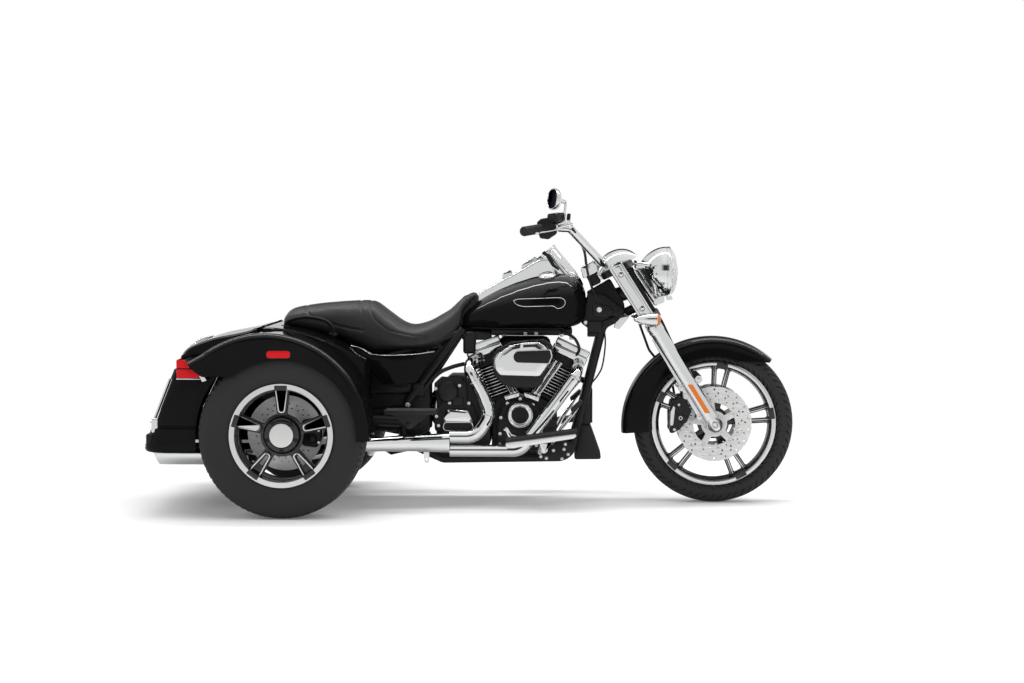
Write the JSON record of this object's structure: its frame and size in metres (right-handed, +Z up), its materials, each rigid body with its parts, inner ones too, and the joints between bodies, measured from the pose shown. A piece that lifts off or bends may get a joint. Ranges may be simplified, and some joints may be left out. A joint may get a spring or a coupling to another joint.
{
  "type": "motorized trike",
  "caption": "Cruiser trike with a steered front wheel, finned V engine, tank, stepped seat, wide rear fenders and a lidded trunk between the rear wheels.",
  "frame": {"origin": "middle of the vehicle's outline on the ground, midway along its length and between its sides", "axes": "+X forward, +Y to the rider's left, +Z up"},
  "size_m": [2.56, 1.38, 1.2566],
  "materials": {
    "black_frame": "satin",
    "black_engine": "wrinkle",
    "black_paint": "high gloss",
    "black_wheel": "gloss",
    "chrome": "polished",
    "polished_steel": "machined",
    "black_plastic": "matte",
    "black_rubber": "matte",
    "tyre": "matte",
    "black_leather": "satin",
    "clear_lens": "clear",
    "red_lens": "gloss"
  },
  "bodies": {
    "root": {"frame": "black_frame", "crankcase": "black_engine", "cylinders": "black_engine", "rocker_covers": "chrome", "pushrod_tubes": "chrome", "air_cleaner": "chrome", "transmission": "black_engine", "primary_cover": "chrome", "oil_cooler": "black_plastic", "fuel_tank": "black_paint", "tank_console": "chrome", "seat": "black_leather", "trunk": "black_paint", "rear_fender_right": "black_paint", "rear_fender_left": "black_paint", "rear_fascia": "black_paint", "tail_lamps": "red_lens", "plate_bracket": "black_plastic", "exhaust_headers": "chrome", "mufflers": "chrome", "rear_axle": "black_frame", "rear_shocks": "black_frame", "drive_belt": "black_rubber", "footboards": "chrome", "foot_controls": "chrome", "grab_handles": "black_frame", "side_covers": "black_paint"},
    "front_end": {"triple_tree": "black_frame", "fork_legs": "chrome", "fork_covers": "chrome", "fork_shroud": "black_plastic", "front_axle": "polished_steel", "handlebar": "chrome", "hand_grips": "black_rubber", "hand_controls": "chrome", "mirrors": "chrome", "headlamp": "chrome", "headlamp_lens": "clear_lens", "headlamp_nacelle": "chrome", "front_signals": "chrome", "front_fender": "black_paint", "front_calipers": "black_engine", "brake_line": "black_rubber"},
    "front_wheel": {"front_tyre": "tyre", "front_rim": "black_wheel"},
    "rear_wheel_right": {"rear_tyre_right": "tyre", "rear_wheel_right": "black_wheel"},
    "rear_wheel_left": {"rear_tyre_left": "tyre", "rear_wheel_left": "black_wheel"},
    "trunk_lid": {"trunk_lid": "black_paint"}
  },
  "joints": [
    {"name": "steering", "type": "hinge", "parent": "root", "child": "front_end", "pos_m": [1.059, 0, 0], "axis": [-0.4384, 0, 0.8988], "range_deg": [-35, 35]},
    {"name": "front_wheel_spin", "type": "hinge", "parent": "front_end", "child": "front_wheel", "pos_m": [0.96, 0, 0.32], "axis": [0, 1, 0], "continuous": true},
    {"name": "rear_right_wheel_spin", "type": "hinge", "parent": "root", "child": "rear_wheel_right", "pos_m": [-0.71, -0.56, 0.318], "axis": [0, 1, 0], "continuous": true},
    {"name": "rear_left_wheel_spin", "type": "hinge", "parent": "root", "child": "rear_wheel_left", "pos_m": [-0.71, 0.56, 0.318], "axis": [0, 1, 0], "continuous": true},
    {"name": "trunk_lid_hinge", "type": "hinge", "parent": "root", "child": "trunk_lid", "pos_m": [-0.818, 0, 0.712], "axis": [0, 1, 0], "range_deg": [0, 60]}
  ]
}
